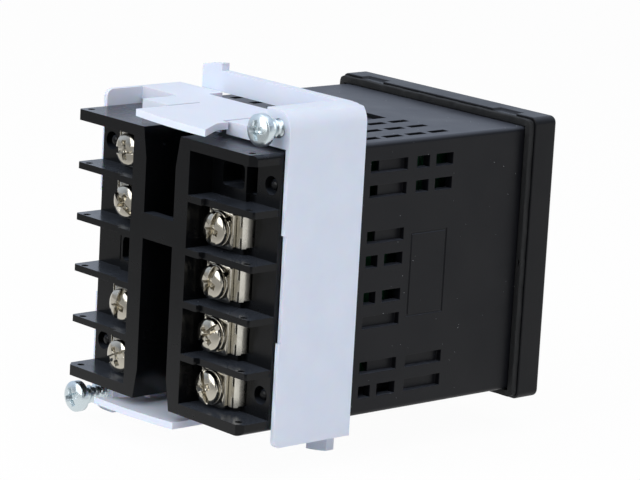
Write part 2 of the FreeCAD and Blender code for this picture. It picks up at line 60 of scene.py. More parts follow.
# ---- camera -------------------------------------------------------------------------------
# It looks at the controller from behind, on its left and a little above, through a long lens.
view_azimuth = math.radians(228.10)
view_height = math.radians(12.23)
view_roll = math.radians(3.22)
view_distance = 560.7 * MM
view_target = Vector((-5.79, 28.9, 2.91)) * MM
back = Vector((math.sin(view_azimuth) * math.cos(view_height),
               -math.cos(view_azimuth) * math.cos(view_height),
               math.sin(view_height)))
level_right = Vector((math.cos(view_azimuth), math.sin(view_azimuth), 0.0))
right = level_right * math.cos(view_roll) + back.cross(level_right) * math.sin(view_roll)
up = back.cross(right)
camera_data = bpy.data.cameras.new("camera")
camera_data.sensor_width = 36.0
camera_data.lens = 192.23
camera_data.clip_start = 0.05
camera_data.clip_end = 10.0
camera = bpy.data.objects.new("camera", camera_data)
bpy.context.collection.objects.link(camera)
camera.matrix_world = (Matrix.Translation(view_target + back * view_distance)
                       @ Matrix((right, up, back)).transposed().to_4x4())
bpy.context.scene.camera = camera

# ---- studio -------------------------------------------------------------------------------
# A plain white floor in a white room that is brighter overhead, with a large soft lamp above
# and a smaller one on the left and behind.


def linear(hex_colour):
    # an sRGB hex colour as the linear RGBA that the shaders take
    parts = [int(hex_colour[i:i + 2], 16) / 255 for i in (1, 3, 5)]
    curved = [c / 12.92 if c <= 0.04045 else ((c + 0.055) / 1.055) ** 2.4 for c in parts]
    return (*curved, 1.0)


def add(tree, kind, inputs=None, **settings):
    # adds a node with its settings; each input takes a value, a socket to link, or several
    node = tree.nodes.new(kind)
    for name, value in settings.items():
        setattr(node, name, value)
    for name, given in (inputs or {}).items():
        if isinstance(given, bpy.types.NodeSocket):
            tree.links.new(given, node.inputs[name])
        elif isinstance(given, list):
            for source in given:
                tree.links.new(source, node.inputs[name])
        else:
            node.inputs[name].default_value = given
    return node


def maths(tree, operation, *terms):
    # one step of arithmetic on sockets and numbers
    return add(tree, "ShaderNodeMath", dict(enumerate(terms)), operation=operation).outputs[0]


lowest = cad_box[0][2]
floor_side = 6.0
floor_gap = 0.02 * MM
bpy.ops.mesh.primitive_plane_add(size=floor_side, location=(0, 0, lowest - floor_gap))
floor = bpy.context.object
floor.name = "floor"
paper = bpy.data.materials.new("white_paper")
paper.use_nodes = True
tree = paper.node_tree
tree.nodes.clear()
matt = add(tree, "ShaderNodeBsdfDiffuse", {"Color": linear("#F2F2F3")})
# mirrored in the controller, the paper grows dimmer away behind it
away = add(tree, "ShaderNodeSeparateXYZ", {0: add(tree, "ShaderNodeTexCoord").outputs["Object"]})
dim = add(tree, "ShaderNodeMapRange", {"Value": away.outputs["Y"], "From Min": 0.06, "From Max": 0.15,
                                       "To Min": 1.0, "To Max": 0.48}, interpolation_type="SMOOTHSTEP")
path = add(tree, "ShaderNodeLightPath").outputs
seen = maths(tree, "MAXIMUM", path["Is Camera Ray"], dim.outputs[0])
white = add(tree, "ShaderNodeEmission", {"Color": (1, 1, 1, 1), "Strength": seen})
# camera, mirror-like and clear rays see it glow evenly, and the other rays see matt paper
paper_share = 0.965
direct = maths(tree, "MAXIMUM", path["Is Camera Ray"], path["Is Glossy Ray"])
direct = maths(tree, "MAXIMUM", direct, path["Is Transmission Ray"])
share = maths(tree, "MULTIPLY", direct, paper_share)
mix = add(tree, "ShaderNodeMixShader", {0: share, 1: matt.outputs[0], 2: white.outputs[0]})
add(tree, "ShaderNodeOutputMaterial", {"Surface": mix.outputs[0]})
floor.data.materials.append(paper)

world = bpy.data.worlds.new("studio")
bpy.context.scene.world = world
world.use_nodes = True
tree = world.node_tree
tree.nodes.clear()
path = add(tree, "ShaderNodeLightPath")
# the room behind the controller's rear is dimmer, and the far side and the ceiling are bright
dim_side = (-0.743, 0.669, -0.55)
heading = add(tree, "ShaderNodeTexCoord").outputs["Generated"]
nearness = add(tree, "ShaderNodeVectorMath", {0: heading, 1: dim_side}, operation="DOT_PRODUCT")
glow = add(tree, "ShaderNodeMapRange",
           {"Value": nearness.outputs["Value"], "From Min": -0.45, "From Max": 0.35, "To Min": 0.95,
            "To Max": 0.15}, interpolation_type="SMOOTHSTEP")
room = add(tree, "ShaderNodeBackground", {"Color": linear("#F4F7FF"), "Strength": 0.30})
mirrored = add(tree, "ShaderNodeBackground", {"Color": linear("#E2EDFF"), "Strength": glow.outputs[0]})
white = add(tree, "ShaderNodeBackground", {"Color": (1, 1, 1, 1), "Strength": 1.0})
mix = add(tree, "ShaderNodeMixShader", {0: path.outputs["Is Glossy Ray"], 1: room.outputs[0],
                                        2: mirrored.outputs[0]})
mix = add(tree, "ShaderNodeMixShader", {0: path.outputs["Is Transmission Ray"], 1: mix.outputs[0],
                                        2: white.outputs[0]})
mix = add(tree, "ShaderNodeMixShader", {0: path.outputs["Is Camera Ray"], 1: mix.outputs[0],
                                        2: white.outputs[0]})
add(tree, "ShaderNodeOutputWorld", {"Surface": mix.outputs[0]})


def lamp(name, at, size, power, towards=(0.0, 28.0, 0.0)):
    # a soft rectangular lamp, placed in mm and sized in m, that shines at the controller's middle
    data = bpy.data.lights.new(name, "AREA")
    data.shape = "RECTANGLE"
    data.size, data.size_y = size
    data.energy = power
    thing = bpy.data.objects.new(name, data)
    bpy.context.collection.objects.link(thing)
    place = Vector(at) * MM
    aim = (Vector(towards) * MM - place).to_track_quat("-Z", "Y")
    thing.matrix_world = Matrix.Translation(place) @ aim.to_matrix().to_4x4()


lamp("top_lamp", (-60.0, 80.0, 520.0), (0.70, 0.70), 1.75)
lamp("left_lamp", (-560.0, 120.0, 300.0), (0.40, 0.60), 1.10)
lamp("rear_lamp", (60.0, 600.0, 260.0), (0.50, 0.50), 2.5)
bpy.context.scene.view_settings.view_transform = "Standard"

# ---- case ---------------------------------------------------------------------------------
# The square tube is moulded in black ABS with a fine spark-eroded grain.  Its vents let warm air
# out, and a toothed rail runs along its top and bottom.

same_point = 0.002 * MM
flat_within = math.radians(1.0)
soft_edge_angle = 35


def freeze(piece):
    # turns what the modifiers give into the piece's own plain mesh
    view = bpy.context.evaluated_depsgraph_get()
    solid = bpy.data.meshes.new_from_object(piece.evaluated_get(view))
    piece.modifiers.clear()
    piece.data = solid
    solid.name = piece.name


def soften(piece, edge, segments=2):
    # rounds the sharp edges by a radius in millimetres
    bevel = piece.modifiers.new("edge", "BEVEL")
    bevel.width = edge * MM
    bevel.segments = segments
    bevel.limit_method = "ANGLE"
    bevel.angle_limit = math.radians(soft_edge_angle)
    bevel.use_clamp_overlap = True
    # the flat faces keep their own normals, so that they shade flat
    flat = piece.modifiers.new("flat", "WEIGHTED_NORMAL")
    flat.mode = "FACE_AREA"
    flat.weight = 100
    flat.thresh = 0.001


def moulded(name, node, body, finish, edge, segments=2, reshape=None):
    # the CAD node's own shape with its sharp edges slightly rounded, as they leave a mould or a die
    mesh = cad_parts[node].data.copy()
    mesh.name = name
    form = bmesh.new()
    form.from_mesh(mesh)
    bmesh.ops.remove_doubles(form, verts=form.verts, dist=same_point)
    bmesh.ops.dissolve_limit(form, angle_limit=flat_within, verts=form.verts, edges=form.edges)
    if reshape:
        reshape(form)
    for face in form.faces:
        face.smooth = True
    form.to_mesh(mesh)
    form.free()
    mesh.materials.clear()
    mesh.materials.append(finish)
    piece = bpy.data.objects.new(name, mesh)
    bpy.context.collection.objects.link(piece)
    soften(piece, edge, segments)
    freeze(piece)
    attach(piece, body)
    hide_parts(node)
    return piece


def surface(name, colour, **settings):
    # a material with its plain colour and settings on the shader's own sockets
    material = bpy.data.materials.new(name)
    material.use_nodes = True
    shader = material.node_tree.nodes["Principled BSDF"]
    shader.inputs["Base Color"].default_value = linear(colour)
    for key, value in settings.items():
        shader.inputs[key.replace("_", " ")].default_value = value
    return material, material.node_tree, shader


def grain(tree, shader, cell, depth, patch, rough):
    # a fine bump with cells of a size in mm, and a roughness that drifts over larger patches;
    # gives back the patches, for a colour to follow
    place = add(tree, "ShaderNodeTexCoord").outputs["Object"]
    fine = add(tree, "ShaderNodeTexNoise", {"Vector": place, "Scale": 1 / (cell * MM), "Detail": 2.0})
    wide = add(tree, "ShaderNodeTexNoise", {"Vector": place, "Scale": 1 / (patch * MM), "Detail": 4.0})
    drift = add(tree, "ShaderNodeMapRange", {"Value": wide.outputs["Fac"], "From Min": 0.3, "From Max": 0.7,
                                             "To Min": rough[0], "To Max": rough[1]})
    bump = add(tree, "ShaderNodeBump",
               {"Height": fine.outputs["Fac"], "Strength": 1.0, "Distance": depth * MM})
    tree.links.new(drift.outputs[0], shader.inputs["Roughness"])
    tree.links.new(bump.outputs[0], shader.inputs["Normal"])
    return wide.outputs["Fac"]


def tinted(tree, shader, fac, low, high, first, second):
    # the colour goes from the first to the second as the factor goes from low to high
    ramp = add(tree, "ShaderNodeValToRGB", {"Fac": fac})
    ramp.color_ramp.elements[0].position = low
    ramp.color_ramp.elements[0].color = linear(first)
    ramp.color_ramp.elements[1].position = high
    ramp.color_ramp.elements[1].color = linear(second)
    tree.links.new(ramp.outputs["Color"], shader.inputs["Base Color"])


def dust_and_top_sheen(tree, shader, fac, bare_colour, dust_and_sheen_colour):
    # faces that look up are greyed by a film of fine dust and by a painted sheen of the light from above,
    # more in some patches than in others
    facing = add(tree, "ShaderNodeSeparateXYZ", {0: add(tree, "ShaderNodeTexCoord").outputs["Normal"]})
    upward = add(tree, "ShaderNodeMapRange", {"Value": facing.outputs["Z"], "From Min": 0.3, "From Max": 1.0},
                 interpolation_type="SMOOTHSTEP")
    patchy = add(tree, "ShaderNodeMapRange", {"Value": fac, "From Min": 0.3, "From Max": 0.7,
                                              "To Min": 0.65, "To Max": 1.0})
    film = maths(tree, "MULTIPLY", upward.outputs[0], patchy.outputs[0])
    tinted(tree, shader, film, 0.0, 1.0, bare_colour, dust_and_sheen_colour)


# moulded ABS: near-black, satin, with a grain drawn 0.35 mm wide (really 0.1 mm) so that it shows
case_abs, tree, shader = surface("moulded_abs", "#101115", Specular_IOR_Level=0.20)
patches = grain(tree, shader, 0.35, 0.012, 9.0, (0.36, 0.50))
# the faces that look up are painted lighter: settled dust, and a painted sheen of the light from above
dust_and_top_sheen(tree, shader, patches, "#0E0F13", "#41454E")
case_piece = moulded("case_shell", "case", "controller", case_abs, 0.09)


def node_shape(name, geometry=(), vectors=(), floats=(), whole=()):
    # an empty node group for a shape, with named inputs and a finish; gives its tree and inputs
    group = bpy.data.node_groups.new(name, "GeometryNodeTree")
    for labels, kind in ((geometry, "Geometry"), (vectors, "Vector"), (whole, "Int"), (floats, "Float"),
                         (("Finish",), "Material")):
        for label in labels:
            group.interface.new_socket(label, in_out="INPUT", socket_type="NodeSocket" + kind)
    group.interface.new_socket("Shape", in_out="OUTPUT", socket_type="NodeSocketGeometry")
    return group, add(group, "NodeGroupInput").outputs


def close_shape(group, given, shape):
    # the group ends by making its shape real and giving it the finish
    real = add(group, "GeometryNodeRealizeInstances", {0: shape})
    done = add(group, "GeometryNodeSetMaterial", {"Geometry": real.outputs[0], "Material": given["Finish"]})
    add(group, "NodeGroupOutput", {0: done.outputs[0]})


def vector(tree, **parts):
    # a vector from its X, Y and Z sockets or numbers
    return add(tree, "ShaderNodeCombineXYZ", parts).outputs[0]


# a little settled dust: specks of lint and grit on the case's outer faces
dust_count_per_cm2 = 3.5
cm2_per_m2 = 1e4
dust_size = 0.17
dust_least = 0.35
dust_reach = 22.3
half_turn = 3.1
dust, tree, shader = surface("grey_dust", "#C4C7CC")
grain(tree, shader, 0.05, 0.01, 0.5, (0.8, 0.95))
specks, given = node_shape("dust_specks", geometry=("Ground",), floats=("Per square metre", "Size", "Reach"))
spot = add(specks, "ShaderNodeVectorMath", {0: add(specks, "GeometryNodeInputPosition").outputs[0]},
           operation="ABSOLUTE")
spot = add(specks, "ShaderNodeSeparateXYZ", {0: spot.outputs[0]}).outputs
furthest = maths(specks, "MAXIMUM", spot["X"], spot["Z"])
outside = maths(specks, "GREATER_THAN", furthest, given["Reach"])
scatter = add(specks, "GeometryNodeDistributePointsOnFaces",
              {"Mesh": given["Ground"], "Selection": outside, "Density": given["Per square metre"],
               "Seed": 7})
size = add(specks, "FunctionNodeRandomValue", {2: dust_least, 3: 1.0, "Seed": 3}, data_type="FLOAT")
size = maths(specks, "MULTIPLY", size.outputs[1], given["Size"])
turn = add(specks, "FunctionNodeRandomValue", {0: (0, 0, 0), 1: (half_turn, half_turn, half_turn), "Seed": 5},
           data_type="FLOAT_VECTOR")
crumb = add(specks, "GeometryNodeMeshIcoSphere", {"Radius": 0.5, "Subdivisions": 1})
crumb = add(specks, "GeometryNodeTransform", {"Geometry": crumb.outputs[0], "Scale": (1.0, 0.55, 0.4)})
laid = add(specks, "GeometryNodeInstanceOnPoints",
           {"Points": scatter.outputs["Points"], "Instance": crumb.outputs[0], "Rotation": turn.outputs[0],
            "Scale": size})
close_shape(specks, given, laid.outputs[0])


def grown(name, group, sizes, body, nodes=(), edge=0.0, ground=None):
    # a piece made by a node group with the named sizes, softened if asked and kept as a plain mesh
    mesh = ground.data.copy() if ground else bpy.data.meshes.new(name)
    piece = bpy.data.objects.new(name, mesh)
    bpy.context.collection.objects.link(piece)
    form = piece.modifiers.new("form", "NODES")
    form.node_group = group
    for item in group.interface.items_tree:
        if item.in_out == "INPUT" and item.name in sizes:
            form[item.identifier] = sizes[item.name]
    if edge:
        soften(piece, edge)
    freeze(piece)
    for face in piece.data.polygons:
        face.use_smooth = True
    if not edge:
        piece.data.set_sharp_from_angle(angle=math.radians(soft_edge_angle))
    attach(piece, body)
    if nodes:
        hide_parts(*nodes)


grown("case_dust", specks,
      {"Per square metre": dust_count_per_cm2 * cm2_per_m2, "Size": dust_size * MM,
       "Reach": dust_reach * MM, "Finish": dust},
      "controller", ground=case_piece)

# ---- bezel, gasket and front window -------------------------------------------------------
# The frame at the front is moulded in black polycarbonate and snaps over the case.  A rubber
# gasket lies behind it, and a smoked window is set flush into its face.

# moulded polycarbonate: black, finely matt, a little smoother than the case
front_pc, tree, shader = surface("matt_polycarbonate", "#0D0E11", Specular_IOR_Level=0.18)
patches = grain(tree, shader, 0.30, 0.010, 7.0, (0.34, 0.46))
# the faces that look up are painted lighter: settled dust, and a painted sheen of the light from above
dust_and_top_sheen(tree, shader, patches, "#0C0D10", "#2A2D33")
moulded("bezel_frame", "bezel", "controller", front_pc, 0.2)

# rubber sheet: dull black, and its cut edge is a little wavy where the frame squeezes it
sheet_rubber, tree, shader = surface("rubber_sheet", "#1A1B1C", Specular_IOR_Level=0.3)
grain(tree, shader, 0.25, 0.02, 3.0, (0.62, 0.80))
gasket = moulded("gasket_sheet", "gasket", "controller", sheet_rubber, 0.12)
gasket_wave = 0.10
gasket_side = 10.0
gasket_rim = 0.3
long_waves = 0.9
short_waves = 2.3
short_height = 0.6
corner_shift = 1.7
form = bmesh.new()
form.from_mesh(gasket.data)
long_edges = [edge for edge in form.edges if edge.calc_length() > gasket_side * MM]
bmesh.ops.subdivide_edges(form, edges=long_edges, cuts=40)
low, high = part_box("gasket")
for vert in form.verts:
    for axis, along in ((0, 2), (2, 0)):
        if min(abs(vert.co[axis] - low[axis]), abs(vert.co[axis] - high[axis])) < gasket_rim * MM:
            run = vert.co[along] / MM
            wave = math.sin(run * long_waves + axis)
            wave += short_height * math.sin(run * short_waves + corner_shift * axis)
            inward = 0.5 * gasket_wave * MM * (1.0 + wave / (1.0 + short_height))
            vert.co[axis] -= math.copysign(inward, vert.co[axis])
bmesh.ops.triangulate(form, faces=form.faces)
form.to_mesh(gasket.data)
form.free()

# smoked polycarbonate: clear but dark with a brown tint, polished
smoke, tree, shader = surface("smoked_polycarbonate", "#8C7F80", Transmission_Weight=0.95, IOR=1.585)
place = add(tree, "ShaderNodeTexCoord").outputs["Object"]
haze = add(tree, "ShaderNodeTexNoise", {"Vector": place, "Scale": 1 / (6.0 * MM), "Detail": 3.0})
haze = add(tree, "ShaderNodeMapRange", {"Value": haze.outputs["Fac"], "To Min": 0.02, "To Max": 0.10})
tree.links.new(haze.outputs[0], shader.inputs["Roughness"])
moulded("window_pane", "front_window", "controller", smoke, 0.1)

# ---- keys ---------------------------------------------------------------------------------
# Four grey silicone rubber keys stand in a row under the window.  Each carries a printed mark:
# a round one for the menu, and arrows for left, down and up.

# silicone rubber: mid grey, satin, slightly soft to light
silicone, tree, shader = surface("silicone_rubber", "#74777C", Specular_IOR_Level=0.35,
                                 Subsurface_Weight=0.08, Subsurface_Scale=0.4 * MM)
patches = grain(tree, shader, 0.22, 0.012, 3.0, (0.50, 0.62))
tinted(tree, shader, patches, 0.35, 0.70, "#6E7176", "#7A7D82")
# white pad-printed ink: flat and a little chalky over the rubber
ink, tree, shader = surface("white_ink", "#E4E5E6", Specular_IOR_Level=0.3)
grain(tree, shader, 0.10, 0.004, 1.0, (0.48, 0.60))
mark_size = 0.95
mark_thick = 0.04
for key, corners, turn in (("key_mode", 24, 0), ("key_left", 3, 90), ("key_down", 3, 180), ("key_up", 3, 0)):
    moulded(key + "_cap", key, key, silicone, 0.18, 3)
    low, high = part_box(key)
    centre = Vector(((low[0] + high[0]) / 2, low[1], (low[2] + high[2]) / 2))
    form = bmesh.new()
    bmesh.ops.create_cone(form, cap_ends=True, segments=corners, radius1=mark_size * MM,
                          radius2=mark_size * MM, depth=2 * mark_thick * MM)
    # a cone stands on Z with its first corner along Y, so it is tipped to face the front
    stand = Matrix.Rotation(math.radians(-turn), 4, "Y") @ Matrix.Rotation(math.radians(90), 4, "X")
    bmesh.ops.transform(form, matrix=Matrix.Translation(centre) @ stand, verts=form.verts)
    mesh = bpy.data.meshes.new(key + "_mark")
    form.to_mesh(mesh)
    form.free()
    mesh.materials.append(ink)
    mark = bpy.data.objects.new(key + "_mark", mesh)
    bpy.context.collection.objects.link(mark)
    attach(mark, key)

# ---- displays -----------------------------------------------------------------------------
# Two rows of four seven-segment digits sit behind the window, unlit.  Each is a grey epoxy face
# with seven milky bars and a point.

# cast epoxy: a dark neutral grey face with a low sheen
face_epoxy, tree, shader = surface("cast_epoxy", "#2B2C2F", Specular_IOR_Level=0.4)
grain(tree, shader, 0.3, 0.004, 4.0, (0.30, 0.42))
# epoxy with a diffuser in it: pale milky bars that stay plain while unlit
bar_epoxy, tree, shader = surface("milky_epoxy", "#B9B4AA", Specular_IOR_Level=0.4)
grain(tree, shader, 0.2, 0.004, 2.0, (0.35, 0.45))
bar_depth = 0.05 * MM
# places of a digit's bars and point as shares of a bar's length; the step leaves gaps between bars
bar_step = 1.1
bar_places = ((0, 1, 0), (0, 0, 0), (0, -1, 0), (-.5, .5, 90), (.5, .5, 90), (-.5, -.5, 90), (.5, -.5, 90))
point_place = (0.88, -1.1, 0.0)
digits, given = node_shape("seven_bar_digits", vectors=("First",), whole=("Count",),
                           floats=("Pitch", "Bar length", "Bar width"))
bar = add(digits, "GeometryNodeMeshCylinder", {"Vertices": 6, "Radius": 0.5, "Depth": bar_depth})
bar = add(digits, "GeometryNodeTransform",
          {"Geometry": bar.outputs[0],
           "Scale": vector(digits, X=given["Bar length"], Y=given["Bar width"], Z=1.0)})
bars = []
for across, rise, turn in bar_places:
    step = add(digits, "ShaderNodeVectorMath",
               {0: (across * bar_step, rise * bar_step, 0.0), "Scale": given["Bar length"]},
               operation="SCALE")
    bars.append(add(digits, "GeometryNodeTransform",
                    {"Geometry": bar.outputs[0], "Translation": step.outputs[0],
                     "Rotation": (0.0, 0.0, math.radians(turn))}).outputs[0])
point = add(digits, "GeometryNodeMeshCylinder", {"Vertices": 12, "Radius": given["Bar width"],
                                                 "Depth": bar_depth})
step = add(digits, "ShaderNodeVectorMath", {0: point_place, "Scale": given["Bar length"]},
           operation="SCALE")
point = add(digits, "GeometryNodeTransform", {"Geometry": point.outputs[0], "Translation": step.outputs[0],
                                              "Scale": (0.6, 0.6, 1.0)})
digit = add(digits, "GeometryNodeJoinGeometry", {0: bars + [point.outputs[0]]})
digit = add(digits, "GeometryNodeTransform", {"Geometry": digit.outputs[0],
                                              "Rotation": (math.radians(90), 0.0, 0.0)})
row = add(digits, "GeometryNodeMeshLine", {"Count": given["Count"], "Start Location": given["First"],
                                           "Offset": vector(digits, X=given["Pitch"])})
laid = add(digits, "GeometryNodeInstanceOnPoints", {"Points": row.outputs[0], "Instance": digit.outputs[0]})
close_shape(digits, given, laid.outputs[0])
digit_count = 4
for node, bar_length, bar_width in (("display_upper", 3.7, 0.95), ("display_lower", 2.7, 0.75)):
    moulded(node + "_face", node, "controller", face_epoxy, 0.15)
    low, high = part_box(node)
    pitch = (high[0] - low[0]) / digit_count
    first = (low[0] + pitch / 2, low[1], (low[2] + high[2]) / 2)
    grown(node + "_digits", digits, {"First": first, "Count": digit_count, "Pitch": pitch,
                                     "Bar length": bar_length * MM, "Bar width": bar_width * MM,
                                     "Finish": bar_epoxy}, "controller")

# ---- terminal block -----------------------------------------------------------------------
# The back of the case is closed by a block moulded in black glass-filled polyester, with five
# pockets down each side of a deep channel.  Two slotted pins per side hold it to the case.

# glass-filled polyester: black and glossy from a polished mould, with faint flow marks along it
polyester, tree, shader = surface("glossy_polyester", "#08090B", Specular_IOR_Level=0.20)
patches = grain(tree, shader, 0.8, 0.006, 5.0, (0.17, 0.30))
# the faces that look up are painted lighter: settled dust, and a painted sheen of the light from above
dust_and_top_sheen(tree, shader, patches, "#07080A", "#3A3F48")
moulded("block_body", "terminal_block", "controller", polyester, 0.12)

# ---- terminals ----------------------------------------------------------------------------
# Eight M3 screws hold wire lugs down on plates set in the pockets.  Each screw keeps a split
# lock ring and a square washer under its domed head; all are nickel plated.

# nickel plate: bright and a little warm, over slightly uneven barrel-finished steel
nickel, tree, shader = surface("nickel_plate", "#BAB5A9", Metallic=1.0)
grain(tree, shader, 0.55, 0.012, 1.6, (0.10, 0.20))
# duller nickel on the stamped brass plates: paler, with softer reflections than the screws
plate_nickel, tree, shader = surface("dull_nickel_plate", "#D3D0C6", Metallic=1.0)
grain(tree, shader, 0.9, 0.008, 2.5, (0.20, 0.34))
plates_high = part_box("terminal_plates")[1]
leg_floor = 52.6 * MM
leg_lean = 0.55 * MM
plain_half_height = 2.25 * MM
leg_half_height = 2.4 * MM
pocket_pitch = 8.6 * MM
near = 0.02 * MM
on_plane = 1e-7


def cut_across(form, axis, at):
    # new edges where a plane square to an axis crosses the form
    square = Vector()
    square[axis] = 1.0
    bmesh.ops.bisect_plane(form, geom=form.verts[:] + form.edges[:] + form.faces[:], dist=on_plane,
                           plane_co=square * at, plane_no=square)


def lean(form):
    # each leg is bent a little less than square, so that it leans outward down to the pocket's floor
    cut_across(form, 1, leg_floor)
    for vert in form.verts:
        middle = round(vert.co.z / pocket_pitch) * pocket_pitch
        if abs(vert.co.x) > plates_high[0] - near and vert.co.y > leg_floor - near:
            rise = (vert.co.y - leg_floor) / (plates_high[1] - leg_floor)
            vert.co.x -= math.copysign(leg_lean * rise, vert.co.x)
        if abs(abs(vert.co.z - middle) - plain_half_height) < near:
            vert.co.z = middle + math.copysign(leg_half_height, vert.co.z - middle)


moulded("terminal_plates_stamped", "terminal_plates", "controller", plate_nickel, 0.06, 3,
        reshape=lean)

tapers = {"Slot": (1.0, 0.7, 1.0), "Cross": (0.55, 0.6, 1.0)}
screw, given = node_shape("screw", vectors=("Place",),
                          floats=("Head radius", "Head height", "Dome", "Slot length", "Slot width",
                                  "Slot depth", "Cross length", "Cross width", "Cross depth", "Turn",
                                  "Thread radius", "Thread length", "Thread pitch", "Ridge"))
# the head is a disc whose upper rings are drawn out to a dome, closer together near the rim
disc = add(screw, "GeometryNodeMeshCylinder", {"Vertices": 72, "Side Segments": 1, "Fill Segments": 14,
                                               "Radius": given["Head radius"], "Depth": given["Head height"]})
lift = vector(screw, Z=maths(screw, "MULTIPLY", given["Head height"], 0.5))
spot = add(screw, "GeometryNodeInputPosition").outputs[0]
parts = add(screw, "ShaderNodeSeparateXYZ", {0: spot}).outputs
level = vector(screw, X=parts["X"], Y=parts["Y"])
reach = add(screw, "ShaderNodeVectorMath", {0: level}, operation="LENGTH").outputs["Value"]
share = maths(screw, "DIVIDE", reach, given["Head radius"])
angle = maths(screw, "MULTIPLY", share, math.pi / 2)
spread = maths(screw, "DIVIDE", maths(screw, "SINE", angle), share)
level = add(screw, "ShaderNodeVectorMath", {0: level, "Scale": spread}, operation="SCALE").outputs[0]
fall = maths(screw, "SUBTRACT", 1.0, maths(screw, "COSINE", angle))
height = maths(screw, "SUBTRACT", parts["Z"], maths(screw, "MULTIPLY", fall, given["Dome"]))
domed = add(screw, "ShaderNodeVectorMath", {0: level, 1: vector(screw, Z=height)}, operation="ADD").outputs[0]
upper = maths(screw, "GREATER_THAN", parts["Z"], 0.0)
head = add(screw, "GeometryNodeSetPosition", {"Geometry": disc.outputs["Mesh"], "Selection": upper,
                                              "Position": domed})
# the drive is a slot and a cross whose arms narrow towards their floor
arms = []
for label, turn in (("Slot", 0.0), ("Cross", 0.0), ("Cross", 90.0)):
    size = vector(screw, X=given[label + " length"], Y=given[label + " width"],
                  Z=maths(screw, "MULTIPLY", given[label + " depth"], 2.0))
    arm = add(screw, "GeometryNodeMeshCube", {"Size": size})
    spot = add(screw, "GeometryNodeInputPosition").outputs[0]
    depth = add(screw, "ShaderNodeSeparateXYZ", {0: spot}).outputs["Z"]
    narrow = add(screw, "ShaderNodeVectorMath", {0: spot, 1: tapers[label]}, operation="MULTIPLY").outputs[0]
    arm = add(screw, "GeometryNodeSetPosition",
              {"Geometry": arm.outputs[0], "Selection": maths(screw, "LESS_THAN", depth, 0.0),
               "Position": narrow})
    arms.append(add(screw, "GeometryNodeTransform",
                    {"Geometry": arm.outputs[0], "Translation": lift,
                     "Rotation": (0.0, 0.0, math.radians(turn))}).outputs[0])
head = add(screw, "GeometryNodeMeshBoolean", {"Mesh 1": head.outputs[0], "Mesh 2": arms},
           operation="DIFFERENCE", solver="EXACT")
head = add(screw, "GeometryNodeTransform", {"Geometry": head.outputs[0], "Translation": lift})
# the thread is a ridge wound round a plain core
turns = maths(screw, "DIVIDE", given["Thread length"], given["Thread pitch"])
core_radius = maths(screw, "SUBTRACT", given["Thread radius"], given["Ridge"])
helix = add(screw, "GeometryNodeCurveSpiral", {"Resolution": 24, "Rotations": turns,
                                               "Start Radius": core_radius, "End Radius": core_radius,
                                               "Height": given["Thread length"]})
helix = add(screw, "GeometryNodeSetCurveNormal", {"Curve": helix.outputs[0]}, mode="Z_UP")
ridge = add(screw, "GeometryNodeCurvePrimitiveCircle", {"Resolution": 4, "Radius": given["Ridge"]})
ridge = add(screw, "GeometryNodeCurveToMesh", {"Curve": helix.outputs[0], "Profile Curve": ridge.outputs[0],
                                               "Fill Caps": True})
core = add(screw, "GeometryNodeMeshCylinder", {"Vertices": 32, "Radius": core_radius,
                                               "Depth": given["Thread length"]})
middle = vector(screw, Z=maths(screw, "MULTIPLY", given["Thread length"], 0.5))
core = add(screw, "GeometryNodeTransform", {"Geometry": core.outputs["Mesh"], "Translation": middle})
shank = add(screw, "GeometryNodeJoinGeometry", {0: [ridge.outputs[0], core.outputs[0]]})
down = vector(screw, Z=maths(screw, "MULTIPLY", given["Thread length"], -1.0))
shank = add(screw, "GeometryNodeTransform", {"Geometry": shank.outputs[0], "Translation": down})
whole = add(screw, "GeometryNodeJoinGeometry", {0: [head.outputs[0], shank.outputs[0]]})
# it is turned about its own axis, then laid along Y with its head to the rear
tip_to_rear = (math.radians(-90), 0.0, 0.0)
turned = add(screw, "GeometryNodeTransform",
             {"Geometry": whole.outputs[0], "Rotation": vector(screw, Z=given["Turn"])})
laid = add(screw, "GeometryNodeTransform", {"Geometry": turned.outputs[0], "Translation": given["Place"],
                                            "Rotation": tip_to_rear})
close_shape(screw, given, laid.outputs[0])

washer, given = node_shape("washer_and_lock_ring", vectors=("Place",),
                           floats=("Side", "Corner", "Thickness", "Bore radius", "Ring radius",
                                   "Ring width", "Ring thickness", "Turn"))
outline = add(washer, "GeometryNodeCurvePrimitiveQuadrilateral", {"Width": given["Side"],
                                                                  "Height": given["Side"]})
outline = add(washer, "GeometryNodeFilletCurve", {"Curve": outline.outputs[0], "Radius": given["Corner"],
                                                  "Count": 5}, mode="POLY")
bore = add(washer, "GeometryNodeCurvePrimitiveCircle", {"Resolution": 48, "Radius": given["Bore radius"]})
both = add(washer, "GeometryNodeJoinGeometry", {0: [outline.outputs[0], bore.outputs[0]]})
flat = add(washer, "GeometryNodeFillCurve", {"Curve": both.outputs[0]}, mode="NGONS")
thick = add(washer, "GeometryNodeExtrudeMesh", {"Mesh": flat.outputs[0], "Offset": vector(washer, Z=1.0),
                                                "Offset Scale": given["Thickness"], "Individual": False})
under = add(washer, "GeometryNodeFlipFaces", {"Mesh": flat.outputs[0]})
plate = add(washer, "GeometryNodeJoinGeometry", {0: [thick.outputs["Mesh"], under.outputs[0]]})
plate = add(washer, "GeometryNodeMergeByDistance", {"Geometry": plate.outputs[0],
                                                    "Distance": 0.5 * same_point})
